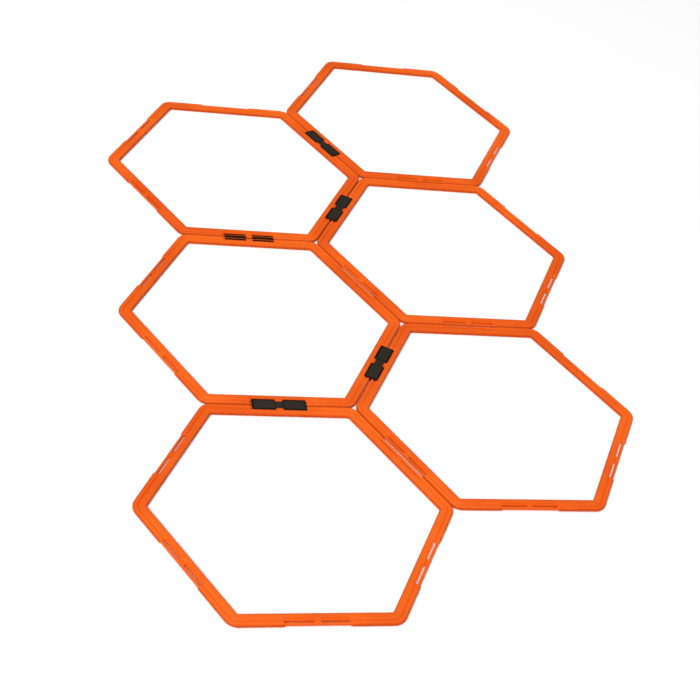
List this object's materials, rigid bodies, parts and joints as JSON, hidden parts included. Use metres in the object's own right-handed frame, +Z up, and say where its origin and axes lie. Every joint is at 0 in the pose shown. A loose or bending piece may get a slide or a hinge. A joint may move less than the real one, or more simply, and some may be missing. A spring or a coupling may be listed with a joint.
{
  "type": "hexagonal agility ring grid",
  "caption": "Flat hexagonal floor rings joined edge to edge by double snap clips, which let the rings lie flat as a footwork grid or fold over one another for storage.",
  "frame": {"origin": "on the floor under the middle of the grid's outline", "axes": "+Z up, away from the floor; +Y along the two columns of rings, towards the rear; +X from the left column to the right column"},
  "size_m": [0.8844, 1.5464, 0.0076],
  "materials": {
    "ring_plastic": "satin orange moulded polyethylene",
    "clip_plastic": "satin black moulded nylon"
  },
  "bodies": {
    "ring_left_rear": {"ring_left_rear": "ring_plastic"},
    "ring_left_middle": {"ring_left_middle": "ring_plastic"},
    "ring_left_front": {"ring_left_front": "ring_plastic"},
    "ring_right_rear": {"ring_right_rear": "ring_plastic"},
    "ring_right_middle": {"ring_right_middle": "ring_plastic"},
    "ring_right_front": {"ring_right_front": "ring_plastic"},
    "clip_left_rear": {"clip_left_rear": "clip_plastic"},
    "clip_left_front": {"clip_left_front": "clip_plastic"},
    "clip_cross_rear": {"clip_cross_rear": "clip_plastic"},
    "clip_cross_middle": {"clip_cross_middle": "clip_plastic"},
    "clip_cross_front": {"clip_cross_front": "clip_plastic"}
  },
  "joints": [
    {"name": "left_rear_inner_hinge", "type": "hinge", "parent": "ring_left_middle", "child": "clip_left_rear", "pos_m": [-0.19155, 0.10639, 0.0038], "axis": [-1, 0, 0], "range_deg": [-90, 0]},
    {"name": "left_rear_outer_hinge", "type": "hinge", "parent": "clip_left_rear", "child": "ring_left_rear", "pos_m": [-0.19155, 0.11479, 0.0038], "axis": [-1, 0, 0], "range_deg": [-90, 0]},
    {"name": "left_front_inner_hinge", "type": "hinge", "parent": "ring_left_middle", "child": "clip_left_front", "pos_m": [-0.19155, -0.32758, 0.0038], "axis": [-1, 0, 0], "range_deg": [-90, 0]},
    {"name": "left_front_outer_hinge", "type": "hinge", "parent": "clip_left_front", "child": "ring_left_front", "pos_m": [-0.19155, -0.33598, 0.0038], "axis": [-1, 0, 0], "range_deg": [-90, 0]},
    {"name": "cross_rear_inner_hinge", "type": "hinge", "parent": "ring_left_rear", "child": "clip_cross_rear", "pos_m": [-0.00364, 0.44027, 0.0038], "axis": [-0.5, 0.866, 0], "range_deg": [0, 90]},
    {"name": "cross_rear_outer_hinge", "type": "hinge", "parent": "clip_cross_rear", "child": "ring_right_rear", "pos_m": [0.00364, 0.44447, 0.0038], "axis": [-0.5, 0.866, 0], "range_deg": [0, 90]},
    {"name": "cross_middle_inner_hinge", "type": "hinge", "parent": "ring_left_rear", "child": "clip_cross_middle", "pos_m": [-0.00364, 0.22329, 0.0038], "axis": [-0.5, -0.866, 0], "range_deg": [-90, 0]},
    {"name": "cross_middle_outer_hinge", "type": "hinge", "parent": "clip_cross_middle", "child": "ring_right_middle", "pos_m": [0.00364, 0.21909, 0.0038], "axis": [-0.5, -0.866, 0], "range_deg": [-90, 0]},
    {"name": "cross_front_inner_hinge", "type": "hinge", "parent": "ring_left_middle", "child": "clip_cross_front", "pos_m": [-0.00364, -0.21909, 0.0038], "axis": [0.5, 0.866, 0], "range_deg": [0, 90]},
    {"name": "cross_front_outer_hinge", "type": "hinge", "parent": "clip_cross_front", "child": "ring_right_front", "pos_m": [0.00364, -0.22329, 0.0038], "axis": [0.5, 0.866, 0], "range_deg": [0, 90]}
  ]
}
